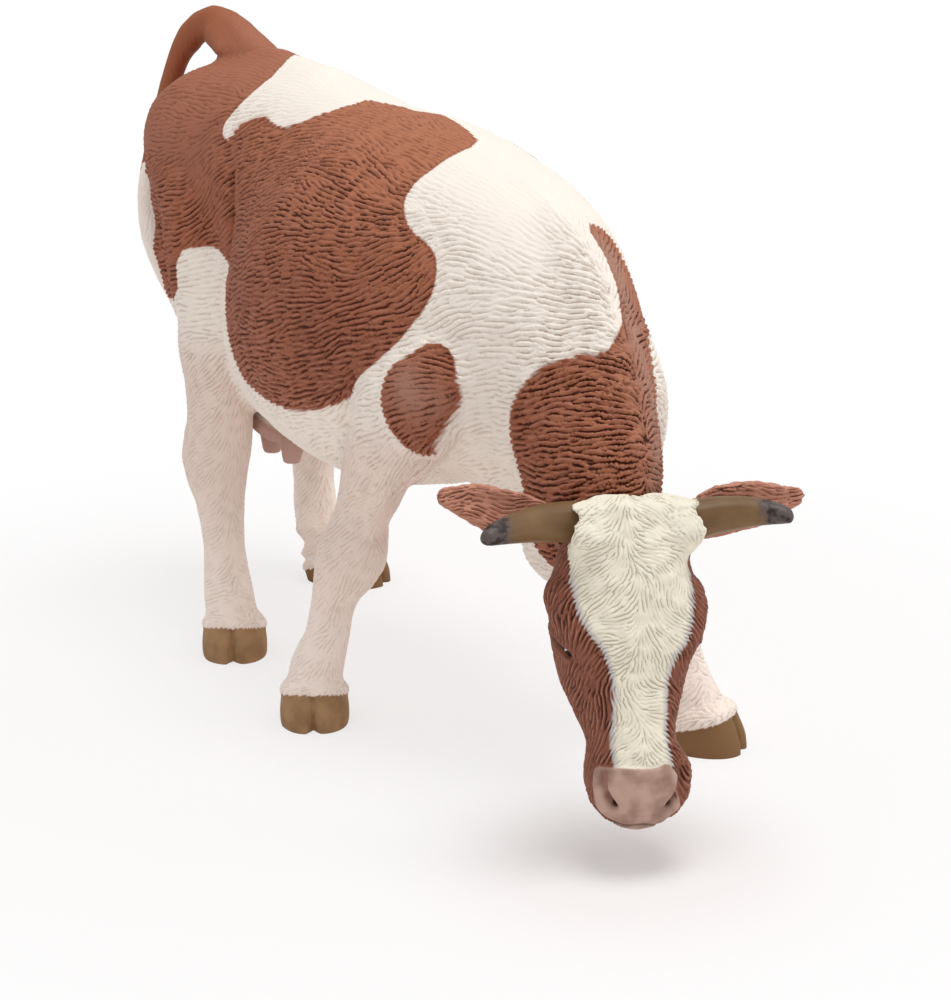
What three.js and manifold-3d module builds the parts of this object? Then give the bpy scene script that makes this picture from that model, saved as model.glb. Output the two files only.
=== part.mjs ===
// A small moulded figure of a grazing cow with horns, in millimetres, +Z up.
// The cow faces -Y and its left side is +X. It stands on z = 0 in a walking pose.

import * as THREE from "three";
import { mergeVertices } from "three/addons/utils/BufferGeometryUtils.js";
import Module from "manifold-3d";

const wasm = await Module();
wasm.setup();

const SIDEWAYS = new THREE.Vector3(1, 0, 0);
const UPRIGHT = new THREE.Vector3(0, 0, 1);

// Facets: rows of a sweep between two stations, and the mesh of small balls.
const STEPS = 2;
const BALL_AROUND = 12;
const BALL_ALONG = 8;

// Glue joints: every moulding keeps this gap to its neighbours, and plugs into one of them.
const GLUE_GAP = 0.3;
const LEG_PLUG_RADIUS = 2.4;
const PLUG_SIDES = 12;

// Head pose about the poll, where the face line starts.
const POLL = [-6.8, -53.4, 42.4];
const HEAD_TURN = THREE.MathUtils.degToRad(-19);
const HEAD_NOD = THREE.MathUtils.degToRad(-15);
const HEAD_TILT = THREE.MathUtils.degToRad(1.4);

// Stations of the swept forms: [x, y, z, half width, reach up, reach down].
// The first and the last of a list are the tips of its rounded ends, and have a place only.
const TRUNK = [
  [0, 61, 66.5],
  [0, 58, 66.5, 12.2, 8.5, 10],
  [0, 52, 66, 14.5, 11.8, 19],
  [0, 44, 65, 15, 14, 25],
  [0, 35, 62, 14.6, 17.4, 28],
  [0, 27, 58.5, 15.2, 20.4, 29],
  [0, 20, 55, 18.6, 23, 27.5],
  [0, 12, 52, 21.6, 24.8, 25.5],
  [0, 0, 50, 22.4, 25, 23.3],
  [0, -12, 49.5, 19.4, 23.6, 19.4],
  [0, -22, 48.5, 15.2, 21.3, 17.6],
  [0, -30, 47, 11, 15.4, 15.8],
  [0, -37, 45, 9, 10, 14],
  [0, -42, 44],
];
const TRUNK_SECTION = { around: 28, crown: 2, square: 2.2 };
const NECK = [
  [0, -6, 53],
  [0, -18, 53.5, 11, 18.6, 20],
  [0, -25.5, 51, 9.6, 17, 20],
  [-0.5, -31, 47.5, 8.6, 14.4, 18.5],
  [-2, -37, 43, 8, 14, 15.5],
  [-4, -42.5, 38.5, 7.2, 12, 11.5],
  [-5, -47, 33.5, 4.8, 5.6, 6.5],
  [-6.2, -50, 31],
];
const NECK_SECTION = { around: 22, crown: 1.5, square: 2.1 };
const DEWLAP = [
  [0, -12, 35],
  [-0.5, -17, 34, 4, 6, 3.5],
  [-2, -25, 32.5, 3.6, 7, 4.4],
  [-4, -32, 31, 3, 7, 4.8],
  [-5.5, -38.5, 30.5, 2.6, 6, 3.8],
  [-6.5, -43, 31],
];
const DEWLAP_SECTION = { around: 12 };

// The head hangs from the poll: x sideways, -y out of the face, -z towards the muzzle.
const HEAD = [
  [0, 4.2, 0.8],
  [0, 4.2, -0.9, 5.8, 3.6, 4.8],
  [0, 4.9, -4, 6.7, 5, 6.4],
  [0, 5.2, -8, 7, 5.6, 8.4],
  [0, 5.4, -12, 8.5, 6, 9.4],
  [0, 5.4, -15.5, 8.9, 5.9, 9.8],
  [0, 5.2, -20, 7.4, 5.2, 8.8],
  [0, 5, -24, 5.7, 4.8, 6.8],
  [0, 4.8, -27.5, 4.9, 4.7, 5.2],
  [0, 4.6, -31, 6, 5, 5.3],
  [0, 4.6, -34.4, 5.5, 4.3, 4.8],
  [0, 4.6, -37.3],
];
const HEAD_SECTION = { around: 22, crown: 2.4, square: 2.2 };
const BROW_CENTRE = [7, 4.6, -12.6];
const BROW_RADII = [2.3, 2.8, 3];

// Ears and horns of the left side, in the head's own directions; the right side mirrors them.
const EAR = [
  [5, 6.8, -4.6],
  [7, 7, -4, 1.7, 1.1, 1.1],
  [11, 6.9, -2.8, 2.9, 1.1, 1.1],
  [15.6, 6.1, -1.6, 2.6, 1, 1],
  [19, 5.2, -0.8, 1.3, 0.7, 0.7],
  [20.8, 4.4, -0.4],
];
const EAR_SECTION = { side: UPRIGHT, around: 14 };
const EAR_HOLLOW_FORWARD = 1.1;
const EAR_HOLLOW_SHARE = 0.8;
const HORN = [
  [4, 3.4, -2.8],
  [6, 3.2, -2.7, 2.5, 2.5, 2.5],
  [10, 2.6, -2.3, 2.2, 2.2, 2.2],
  [14, 1, -2.4, 1.7, 1.7, 1.7],
  [16.6, -0.8, -2.8, 1.2, 1.2, 1.2],
  [17.8, -1.8, -3.2],
];
const HORN_SECTION = { side: UPRIGHT, around: 12 };

// Legs from the body down to the fetlock; a leg's reach up is forward and its reach down is back.
const LEGS = {
  front_leg_right: {
    stations: [
      [-9.5, -19, 58],
      [-12, -19, 51.5, 6, 8.5, 8.5],
      [-13.6, -17, 45, 6.2, 8.5, 8.5],
      [-14.4, -12.8, 38, 5.2, 6.4, 6.6],
      [-14.6, -9.3, 33, 3.9, 5.6, 6],
      [-15.2, -7.3, 28.6, 3.3, 4.4, 4.4],
      [-16, -5.5, 23.4, 4.2, 4.9, 4.8],
      [-16.4, -2.8, 18.5, 3.1, 3.7, 3.7],
      [-16.7, -1.6, 15, 2.6, 3.2, 3.2],
      [-17, -0.6, 11, 2.7, 3.1, 3.2],
      [-17.4, 1, 7.2, 3.4, 3.4, 3.8],
      [-17.9, 1.2, 4.6, 3.6, 3.4, 3.4],
      [-18.1, 1, 2.4],
    ],
    sole: [-18.1, 0.8],
    turn: THREE.MathUtils.degToRad(-30),
    plug: [[-14.8, -9.6, 32.5], [-9, -15, 44]],
  },
  front_leg_left: {
    stations: [
      [8.5, -18, 57],
      [10.8, -18, 51, 6, 8, 8.5],
      [12.6, -18.2, 45, 6.2, 8.5, 8.5],
      [14.6, -18.6, 38, 5.2, 6.4, 6.6],
      [15.2, -19.6, 33, 3.9, 5.4, 5.6],
      [16, -21.6, 28.6, 3.3, 4.4, 4.4],
      [16.6, -24.6, 23.4, 4.2, 4.8, 4.6],
      [16.8, -26.8, 18.5, 3.1, 3.6, 3.6],
      [17, -28.4, 15, 2.7, 3.2, 3.2],
      [17.2, -29.8, 11, 2.7, 3.1, 3.2],
      [17.6, -31.2, 7.2, 3.4, 3.4, 3.8],
      [18.2, -32.4, 4.6, 3.6, 3.4, 3.4],
      [18.4, -32.8, 2.4],
    ],
    sole: [18.6, -33.1],
    turn: THREE.MathUtils.degToRad(35),
    plug: [[15.2, -19.4, 33], [8.5, -18, 44]],
  },
  hind_leg_right: {
    stations: [
      [-7, 42, 70],
      [-9.5, 43.5, 64, 6.5, 10, 11],
      [-11.6, 43, 55, 6.6, 11, 9],
      [-12.6, 38.5, 46, 5.3, 8.5, 6.4],
      [-13.2, 35.6, 37.5, 4.3, 6.8, 4.6],
      [-13.4, 34.6, 31.5, 4.2, 6, 5],
      [-13.8, 35, 26, 4.4, 5.6, 6.2],
      [-14.1, 33.6, 20.5, 3.3, 3.8, 4],
      [-14.2, 32.6, 14, 2.7, 3.2, 3.3],
      [-14.4, 31.4, 8, 3.4, 3.4, 3.6],
      [-14.9, 29.4, 4.8, 3.6, 3.4, 3.4],
      [-15, 28.9, 2.5],
    ],
    sole: [-15, 28.7],
    turn: THREE.MathUtils.degToRad(-28),
    plug: [[-13.4, 37.4, 43], [-7, 41, 55]],
  },
  hind_leg_left: {
    stations: [
      [7, 43, 70],
      [9.5, 44, 64, 6.5, 10, 11],
      [11.6, 44, 55, 6.6, 11, 9.5],
      [12.4, 45, 46, 5.3, 8, 7.5],
      [12.2, 48, 37.5, 4.3, 6, 6],
      [11.9, 51, 31.5, 4.2, 5, 5.5],
      [11.7, 53.2, 26, 4.2, 4.6, 5.4],
      [11.5, 53.6, 20.5, 3.3, 3.8, 3.9],
      [11.5, 53.4, 14, 2.9, 3.3, 3.3],
      [11.8, 52.6, 8, 3.5, 3.4, 3.6],
      [13, 49, 4.8, 3.6, 3.4, 3.4],
      [13.6, 47.6, 2.5],
    ],
    sole: [14.2, 46.6],
    turn: THREE.MathUtils.degToRad(35),
    plug: [[13, 45.4, 43], [7, 43, 55]],
  },
};
const LEG_SECTION = { around: 16 };

// Hooves: the wall narrows from the sole up to the coronet, and the cleft parts the toe.
const HOOF_HEIGHT = 5;
const HOOF_HALF_WIDTH = 4.5;
const HOOF_FORE = 5.8;
const HOOF_AFT = 4.8;
const HOOF = [
  [0, 0.5, 1.3 * HOOF_HEIGHT],
  [0, 0.3, HOOF_HEIGHT, 0.84 * HOOF_HALF_WIDTH, 0.6 * HOOF_FORE, 0.78 * HOOF_AFT],
  [0, 0, HOOF_HEIGHT / 2, 0.95 * HOOF_HALF_WIDTH, 0.83 * HOOF_FORE, 0.94 * HOOF_AFT],
  [0, 0, 0, HOOF_HALF_WIDTH, HOOF_FORE, HOOF_AFT],
  [0, 0, -HOOF_HEIGHT / 2, HOOF_HALF_WIDTH, HOOF_FORE, HOOF_AFT],
  [0, 0, -HOOF_HEIGHT],
];
const HOOF_SECTION = { around: 16, crown: 2.4, square: 2.4 };
const CLEFT_WIDTH = 0.9;
const CLEFT_DEPTH = 1.8;
const DEWCLAW_RADII = [0.8, 0.9, 1.1];
const DEWCLAW_APART = 3.2;
const DEWCLAW_PLACE = [3.6, 6.2];
const GROUND_SIZE = 200;

const UDDER = [
  [0, 22.5, 33.5],
  [0, 26.5, 33.5, 6, 4, 5],
  [0, 32, 33.5, 8, 4.5, 6],
  [0, 38, 35, 7.4, 4.5, 6],
  [0, 43, 38],
];
const UDDER_SECTION = { around: 16 };
const TEAT_PLACES = [[-3.6, 30], [3.6, 30], [-3.4, 36], [3.4, 36]];
// A teat's stations have no x and y of their own: [z, half width, reach forward, reach back].
const TEAT = [
  [33],
  [31, 1.4, 1.4, 1.4],
  [25.6, 1.1, 1.1, 1.1],
  [24.6],
];
const TEAT_SECTION = { around: 10 };
const UDDER_PLUG = [[0, 33, 29.5], [0, 33, 40]];
const UDDER_PLUG_RADIUS = 2;

const TAIL = [
  [0, 43, 73.5],
  [0, 46.4, 76.8, 3.8, 3.6, 3.6],
  [-0.6, 50.8, 80.4, 3, 2.8, 2.8],
  [-1.8, 55.6, 82.2, 2.3, 2.3, 2.3],
  [-3.4, 59.6, 80.2, 1.8, 1.8, 1.8],
  [-4.8, 61.8, 75.6, 1.6, 1.6, 1.6],
  [-6.2, 62.8, 70, 1.6, 1.6, 1.6],
  [-7.8, 62.4, 64.6, 1.8, 1.8, 1.8],
  [-9.4, 60.6, 59, 2.5, 2.5, 2.5],
  [-10.2, 57.6, 53, 2.9, 2.8, 2.8],
  [-10, 54.6, 47, 2.2, 2, 2],
  [-9.2, 52.4, 42],
];
const TAIL_SECTION = { around: 12 };

const FINISHES = {
  hide: { color: 0x7b4023, roughness: 0.6, metalness: 0 },
  leg: { color: 0xe2d3c3, roughness: 0.6, metalness: 0 },
  horn: { color: 0xcdbd94, roughness: 0.5, metalness: 0 },
  udder: { color: 0xc79c8b, roughness: 0.6, metalness: 0 },
};

// How far a row of a sweep is along its spine, and how much of its section the round end leaves.
function dome(row, spans) {
  if (row < 1) {
    const turn = row * Math.PI / 2;
    return { place: 1 - Math.cos(turn), fullness: Math.sin(turn) };
  }
  if (row > spans - 1) {
    const turn = (spans - row) * Math.PI / 2;
    return { place: spans - 1 + Math.cos(turn), fullness: Math.sin(turn) };
  }
  return { place: row, fullness: 1 };
}

const signedPower = (value, power) => Math.sign(value) * Math.abs(value) ** power;

// A closed skin swept through oval stations, with its faces out and both ends rounded.
// The reach up is on the side that the spine's direction x side points to.
// Crown and square are the oval's exponents above and below the spine: 2 is an ellipse.
function sweep(stations, { side = SIDEWAYS, around = 16, crown = 2, square = 2 } = {}, grow = 0) {
  const spans = stations.length - 1;
  const places = stations.map(([x, y, z]) => new THREE.Vector3(x, y, z));
  const sizes = stations.slice(1, -1).map(([, , , half, up, down]) => new THREE.Vector3(half, up, down));
  const spine = new THREE.CatmullRomCurve3(places);
  const reaches = new THREE.CatmullRomCurve3(sizes);
  const skin = new THREE.SphereGeometry(1, around, spans * STEPS);
  const { position, uv } = skin.attributes;
  for (let i = 0; i < position.count; i += 1) {
    const row = (1 - uv.getY(i)) * spans;
    const angle = uv.getX(i) * 2 * Math.PI;
    const { place, fullness } = dome(row, spans);
    const along = spine.getTangent(place / spans);
    const up = along.clone().cross(side).normalize();
    const reach = reaches.getPoint(THREE.MathUtils.clamp((row - 1) / (spans - 2), 0, 1));
    const across = -Math.cos(angle);
    const rise = Math.sin(angle);
    const power = 2 / (rise > 0 ? crown : square);
    const vertical = rise > 0 ? reach.y : reach.z;
    const point = spine.getPoint(place / spans);
    point.addScaledVector(side, signedPower(across, power) * fullness * (reach.x + grow));
    point.addScaledVector(up, signedPower(rise, power) * fullness * (vertical + grow));
    const pastStart = Math.max(0, 1 - row);
    const pastEnd = Math.max(0, row - spans + 1);
    point.addScaledVector(along, grow * (pastEnd - pastStart));
    position.setXYZ(i, point.x, point.y, point.z);
  }
  return skin;
}

function ball(centre, radii, grow = 0) {
  const skin = new THREE.SphereGeometry(1, BALL_AROUND, BALL_ALONG);
  skin.scale(...radii.map((radius) => radius + grow));
  skin.translate(...centre);
  return skin;
}

// A round plug from one point to another, longer and wider by grow.
function peg([from, to], radius, grow = 0) {
  const start = new THREE.Vector3(...from);
  const end = new THREE.Vector3(...to);
  const direction = end.clone().sub(start).normalize();
  end.addScaledVector(direction, grow);
  const length = start.distanceTo(end);
  const skin = new THREE.CylinderGeometry(radius + grow, radius + grow, length, PLUG_SIDES);
  skin.applyQuaternion(new THREE.Quaternion().setFromUnitVectors(new THREE.Vector3(0, 1, 0), direction));
  skin.translate(...start.add(end).multiplyScalar(0.5).toArray());
  return skin;
}

const mirrored = (points, hand) => points.map(([x, ...rest]) => [hand * x, ...rest]);

// Puts a form made in the head's own directions where the head is.
function hang(skin) {
  skin.rotateX(HEAD_NOD);
  skin.rotateY(HEAD_TILT);
  skin.rotateZ(HEAD_TURN);
  skin.translate(...POLL);
  return skin;
}

function solid(skin) {
  const bare = skin.clone();
  bare.deleteAttribute("normal");
  bare.deleteAttribute("uv");
  const welded = mergeVertices(bare);
  return new wasm.Manifold(new wasm.Mesh({
    numProp: 3,
    vertProperties: Float32Array.from(welded.attributes.position.array),
    triVerts: Uint32Array.from(welded.index.array),
  }));
}

function torsoForm(grow = 0) {
  const trunk = solid(sweep(TRUNK, TRUNK_SECTION, grow));
  const neck = solid(sweep(NECK, NECK_SECTION, grow));
  const dewlap = solid(sweep(DEWLAP, DEWLAP_SECTION, grow));
  return trunk.add(neck).add(dewlap);
}

function headForm(grow = 0) {
  let form = solid(hang(sweep(HEAD, HEAD_SECTION, grow)));
  for (const hand of [1, -1]) {
    const [brow] = mirrored([BROW_CENTRE], hand);
    form = form.add(solid(hang(ball(brow, BROW_RADII, grow))));
  }
  return form;
}

const earLeaf = (hand, grow = 0) => sweep(mirrored(EAR, hand), EAR_SECTION, grow);

function earForm(hand) {
  const hollow = earLeaf(hand);
  hollow.scale(1, 1, EAR_HOLLOW_SHARE);
  hollow.translate(0, -EAR_HOLLOW_FORWARD, 0);
  return solid(hang(earLeaf(hand))).subtract(solid(hang(hollow)));
}

function hornForm(hand, grow = 0) {
  return solid(hang(sweep(mirrored(HORN, hand), HORN_SECTION, grow)));
}

const legForm = ({ stations }, grow = 0) => solid(sweep(stations, LEG_SECTION, grow));

// A cloven hoof with its two dewclaws, heading -Y before it is turned, on the ground.
function hoofForm({ sole: [x, y], turn }) {
  const wall = sweep(HOOF, HOOF_SECTION);
  const cleft = new THREE.BoxGeometry(CLEFT_WIDTH, 2 * CLEFT_DEPTH, 4 * HOOF_HEIGHT);
  cleft.translate(0, -HOOF_FORE, 0);
  const claws = [1, -1].map((hand) => ball([hand * DEWCLAW_APART / 2, ...DEWCLAW_PLACE], DEWCLAW_RADII));
  for (const skin of [wall, cleft, ...claws]) {
    skin.rotateZ(turn);
    skin.translate(x, y, 0);
  }
  return claws.map(solid).reduce((form, claw) => form.add(claw), solid(wall).subtract(solid(cleft)));
}

function underGround() {
  const block = new THREE.BoxGeometry(GROUND_SIZE, GROUND_SIZE, GROUND_SIZE);
  block.translate(0, 0, -GROUND_SIZE / 2);
  return solid(block);
}

const figure = new THREE.Group();

function mould(name, body, finish) {
  const { vertProperties, triVerts } = body.getMesh();
  const geometry = new THREE.BufferGeometry();
  geometry.setAttribute("position", new THREE.BufferAttribute(vertProperties, 3));
  geometry.setIndex(new THREE.BufferAttribute(triVerts, 1));
  geometry.computeVertexNormals();
  const mesh = new THREE.Mesh(geometry, new THREE.MeshStandardMaterial(finish));
  mesh.name = name;
  figure.add(mesh);
}

const torsoRoom = torsoForm(GLUE_GAP);
let torso = torsoForm();
let head = headForm().subtract(torsoRoom);

for (const [name, leg] of Object.entries(LEGS)) {
  const limb = legForm(leg).subtract(torsoRoom).add(hoofForm(leg));
  const plugged = limb.add(solid(peg(leg.plug, LEG_PLUG_RADIUS)));
  mould(name, plugged.subtract(underGround()), FINISHES.leg);
  torso = torso.subtract(solid(peg(leg.plug, LEG_PLUG_RADIUS, GLUE_GAP)));
}

for (const [side, hand] of [["left", 1], ["right", -1]]) {
  const hornRoom = hornForm(hand, GLUE_GAP);
  mould(`horn_${side}`, hornForm(hand).subtract(torsoRoom), FINISHES.horn);
  mould(`ear_${side}`, earForm(hand).subtract(torsoRoom).subtract(hornRoom), FINISHES.hide);
  head = head.subtract(hornRoom).subtract(solid(hang(earLeaf(hand, GLUE_GAP))));
}
mould("head", head, FINISHES.hide);

const tail = solid(sweep(TAIL, TAIL_SECTION));
mould("tail", tail.subtract(legForm(LEGS.hind_leg_right, GLUE_GAP)), FINISHES.hide);
torso = torso.subtract(solid(sweep(TAIL, TAIL_SECTION, GLUE_GAP)));

let udder = solid(sweep(UDDER, UDDER_SECTION));
for (const [x, y] of TEAT_PLACES) {
  const teat = TEAT.map(([z, ...reach]) => [x, y, z, ...reach]);
  udder = udder.add(solid(sweep(teat, TEAT_SECTION)));
}
udder = udder.subtract(torsoRoom);
for (const name of ["hind_leg_right", "hind_leg_left"]) {
  udder = udder.subtract(legForm(LEGS[name], GLUE_GAP));
}
mould("udder", udder.add(solid(peg(UDDER_PLUG, UDDER_PLUG_RADIUS))), FINISHES.udder);
torso = torso.subtract(solid(peg(UDDER_PLUG, UDDER_PLUG_RADIUS, GLUE_GAP)));
mould("torso", torso, FINISHES.hide);

// The origin is on the ground under the middle of the figure.
const middle = new THREE.Box3().setFromObject(figure, true).getCenter(new THREE.Vector3());
figure.position.set(-middle.x, -middle.y, 0);

export default figure;
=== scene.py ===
"""Looks of a moulded, hand-painted toy cow that grazes with its head low.

Lengths are millimetres in the cow's own directions until a piece is made:
x to its left, y to its tail, z up from the ground.
"""

import math

import bmesh
import bpy
import numpy as np
from mathutils import Euler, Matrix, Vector
from mathutils.bvhtree import BVHTree


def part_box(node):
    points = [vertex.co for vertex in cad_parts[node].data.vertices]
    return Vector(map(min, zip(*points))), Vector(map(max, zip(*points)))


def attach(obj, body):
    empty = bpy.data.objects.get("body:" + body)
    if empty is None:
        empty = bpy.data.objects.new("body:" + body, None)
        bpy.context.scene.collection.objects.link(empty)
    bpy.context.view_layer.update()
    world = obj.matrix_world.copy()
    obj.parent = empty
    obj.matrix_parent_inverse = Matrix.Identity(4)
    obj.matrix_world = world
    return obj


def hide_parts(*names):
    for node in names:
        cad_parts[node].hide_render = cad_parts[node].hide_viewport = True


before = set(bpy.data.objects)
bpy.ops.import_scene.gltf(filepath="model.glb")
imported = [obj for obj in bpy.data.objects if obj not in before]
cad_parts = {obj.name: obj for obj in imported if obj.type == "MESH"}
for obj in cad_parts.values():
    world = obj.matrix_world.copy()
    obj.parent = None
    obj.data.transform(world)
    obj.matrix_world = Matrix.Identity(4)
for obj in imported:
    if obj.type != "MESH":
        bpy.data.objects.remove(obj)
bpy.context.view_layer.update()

MM = 0.001
TINY = 1e-9
HIND_LEG_NODES = ["hind_leg_right", "hind_leg_left"]
LEG_NODES = ["front_leg_right", "front_leg_left", *HIND_LEG_NODES]
BODY_NODES = ["torso", *LEG_NODES, "udder", "tail"]
HEAD_NODES = ["head", "ear_right", "ear_left"]
HORN_NODES = ["horn_right", "horn_left"]

# The row frame has its origin under the middle of the box; the cow's own has it under the spine.
RUMP_Y = 61.0
torso_low, torso_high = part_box("torso")
SHIFT = np.array([(torso_low.x + torso_high.x) / 2 / MM, torso_high.y / MM - RUMP_Y, 0])

# Fusing the mouldings into skins: cell sizes, which are halved where hair is carved, the swelling that closes
# the glue gaps, and how deep a piece's rim is sunk.
BODY_CELL = 0.3
HEAD_CELL = 0.22
HORN_CELL = 0.2
SWELL = 0.22
WELD = 0.001
CAP_DEPTH = 0.8
# How much of the swelling is taken back from the head.
HEAD_SHRINK = 0.5

# Smoothing: how far a point or a value moves to the mean of its neighbours in a round, and the rounds.
SOFTNESS = 0.5
RELAX = {"body": 4, "tail": 10, "barrel": 45, "teats": 25, "hooves": 60, "head": 5, "face": 14, "horn": 10}
# Rounds of blurring for what fades from one moulding to the next.
BLUR = {"limb": 4, "thin": 3, "belly": 12, "udder": 10, "tail": 15, "seam": 5}

# Hair strokes waver over this length.
WAVE_SIZE = 4.0
# How much slimmer than long a stroke's wave is.
STROKE_SLIM = 1.3
# A stroke falls off steeply under the hair above it and rises gently to the next, in shares of the period.
STEEP_SHARE = 0.16
GENTLE_SHARE = 0.34
# Its ridge and its groove, in shares of the carving's depth, and the strength below which it fades out.
RIDGE_SHARE = 0.4
GROOVE_SHARE = 0.85
FAINT = 0.12
# Strokes break into dashes: their size, how much of a stroke is left on the whole, and how much that varies.
DASH_SIZE = 0.95
DASH_SHARE = 0.76
DASH_SWING = 0.95
# How light the paint of a ridge is (dry-brushing and painted highlight), next to how dark that of a groove
# is.
RIDGE_LIGHT = 0.4

# The coat's two layers of strokes. The coarse ones lie closer on the legs.
COARSE_HAIR = {"wave": 0.35, "reach": 1.6, "seed": 3}
COARSE_PERIOD = 0.7
LIMB_PERIOD = 0.54
COARSE_DEPTH = 0.25
FINE_HAIR = {"wave": 0.7, "period": 0.46, "reach": 1.0, "seed": 23}
FINE_DEPTH = 0.1
# How much the fine grooves darken the paint, as wash and painted shade.
FINE_PAINT = 0.35
# The head's strokes, on the brown and on the blaze.
FACE_HAIR = {"reach": 1.1, "seed": 5}
FACE_WAVE = (0.6, 1.2)
FACE_PERIOD = (0.52, 0.46)
FACE_DEPTH = (0.24, 0.14)
# How far a stroke moves the edge of a patch, a hoof or the blaze.
PATCH_STROKE = 0.12
HOOF_STROKE = 0.1
BLAZE_STROKE = 0.15

# Head pose about the poll.
POLL = np.array([-6.8, -53.4, 42.4])
HEAD_NOD = math.radians(-15)
HEAD_TILT = math.radians(1.4)
HEAD_TURN = math.radians(-19)
HEAD_AXES = np.array(Euler((HEAD_NOD, HEAD_TILT, HEAD_TURN), "XYZ").to_matrix())

# The middle line of the body from the poll to the rump, which the coat is measured around.
LINE_Y = [-52, -47, -42, -32, -20, 0, 15, 40, 62]
LINE_X = [-6, -5, -3.5, -0.5, 0, 0, 0, 0, 0]
LINE_Z = [31, 34, 38, 45, 49, 50, 52, 58, 62]
MM_PER_DEGREE = 0.35

# How much of each side is cut off an outline's corners. Depths well outside an outline aren't measured.
CORNER_CUT = 0.25
FAR_OUT = -3.0

# Patches of the coat: (y, degrees around the middle line). 0 is the spine and + is the right side.
BROWN_PATCHES = {
    "flank": [
        (-8.6, -3), (-10.8, 15), (-10.9, 28), (-12.7, 34), (-15.2, 38), (-18.7, 38.5), (-20.9, 42),
        (-21.6, 50), (-20.9, 60), (-19.5, 69), (-18.2, 77), (-15.3, 87), (-11.6, 97), (-10.5, 104),
        (-1.8, 112), (9.4, 118), (18.3, 118.5), (22, 106), (25, 94), (29.5, 90), (33.8, 93),
        (37.8, 100), (37.3, 119), (46, 130), (70, 125), (70, -125), (52, -121), (45, -110),
        (41, -96), (36.5, -88), (33, -74), (36, -62), (38.5, -50), (35.5, -38), (38, -20),
        (20, -20), (6, -10), (-2, -8),
    ],
    "shoulder": [
        (-23.3, 66), (-25.4, 65), (-26.8, 75), (-26.8, 88), (-24.9, 106), (-23.2, 119),
        (-21.9, 110), (-19.8, 104), (-18.4, 96), (-18.5, 87), (-20, 81), (-21.8, 74),
    ],
    "neck": [
        (-27.3, -10), (-33, -12), (-39.4, -10.6), (-41.4, -6), (-42, 0), (-38.4, 11), (-35.5, 32),
        (-33.2, 60), (-32.3, 81), (-32.4, 110), (-34.2, 122), (-36.8, 135), (-40, 141), (-46, 144),
        (-58, 140), (-60, 0), (-58, -60), (-48, -42), (-42, -34), (-39, -31), (-36.6, -31),
        (-35.2, -38), (-32, -46), (-28.6, -43), (-27, -35), (-25.8, -25),
    ],
    "left flank": [
        (-3, -22), (-9, -30), (-13, -44), (-11.5, -58), (-15, -72), (-12, -92), (-4, -104),
        (3, -101), (9, -110), (17, -106), (23, -92), (21, -76), (24.5, -62), (19, -48), (12, -44),
        (7, -30),
    ],
}
LOIN_PATCH = [
    (39.4, -8), (33.0, 11), (32.4, 22), (33.2, 33), (33.7, 39), (32.8, 42.5), (31.4, 42),
    (29.8, 33), (26.6, 27), (23.6, 28), (19.9, 26), (15, 10), (15.5, -1), (4.9, -6), (3, -24),
    (12, -46), (26, -56), (38, -40),
]

# Lumps and ragged edges: the height, size and seed of each layer.
REAR_WAVER = [(2.5, 7, 41)]
SWITCH_RAGS = [(1.5, 1.2, 43)]
PAD_LUMPS = [(0.12, 1.3, 31)]
TUFTS = [(0.2, 1.5, 21), (0.1, 0.8, 22)]
HORN_TIP_RAGS = [(0.7, 1.2, 7), (0.4, 0.5, 8)]

# Where the brown of the rump ends level behind, and how high.
REAR_ALONG = (49, 54)
REAR_LEVEL = 50
# The legs are white below these heights, over this fade, and the tail's switch below its own.
FRONT_WHITE = 37
HIND_WHITE = 42
WHITE_FADE = 3
SWITCH_LEVEL = 62
# Depths that put a place outside the coat's patches, or outside the blaze and the nose pad.
OUTSIDE = 20
FACE_OUTSIDE = 8

# The middle of the shoulder patch, which is painted paler as painted sheen, and how far that reaches.
SPOT = (-22.6, 88)
SPOT_SIZE = 3.8
# The neck's crest and its width, in degrees around the middle line.
CREST = -18
CREST_WIDTH = 11

# Where places of the coat begin and are whole: along the body, in degrees around it, in height, or in depth
# inside the brown.
BACK_ALONG = (-34, -24)
BACK_AROUND = (36, 14)
RUMP_ALONG = (30, 38)
RUMP_AROUND = (85, 55)
NECK_ALONG = (-30, -36)
CREST_ALONG = (-26, -30)
# Painted top light: the brown is painted lighter toward the spine, where the overhead light falls.
TOP_LIGHT_AROUND = (80, 25)
BELLY_AROUND = (95, 125)
BELLY_FRONT = (-36, -24)
BELLY_REAR = (34, 18)
TAIL_ALONG = (46, 55)
LIMB_LEVELS = (46, 38)
LEG_LEVELS = (46, 22)
SHIN_LEVELS = (26, 8)
WHITE_EDGE = (0.4, -0.4)

# How much shallower the hair is there, and how much deeper on the neck.
SHALLOWER = {
    "leg": 0.35,
    "back": 0.5,
    "white back": 0.3,
    "rump": 0.6,
    "udder": 0.9,
    "tail": 0.5,
    "white": 0.32,
    "crest": 0.35,
    "spot": 0.45,
}
NECK_DEEPER = 0.4
# How much painted sheen the rump and the shoulder patch get, how much of the rump is left out of the painted
# top light, and how much darker the paint in the grooves of the legs is, for wash and painted shade.
RUMP_SHEEN = 0.1
SPOT_SHEEN = 0.85
RUMP_TOP_LIGHT_CUT = 0.8
LIMB_DARKER = 0.3

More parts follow.
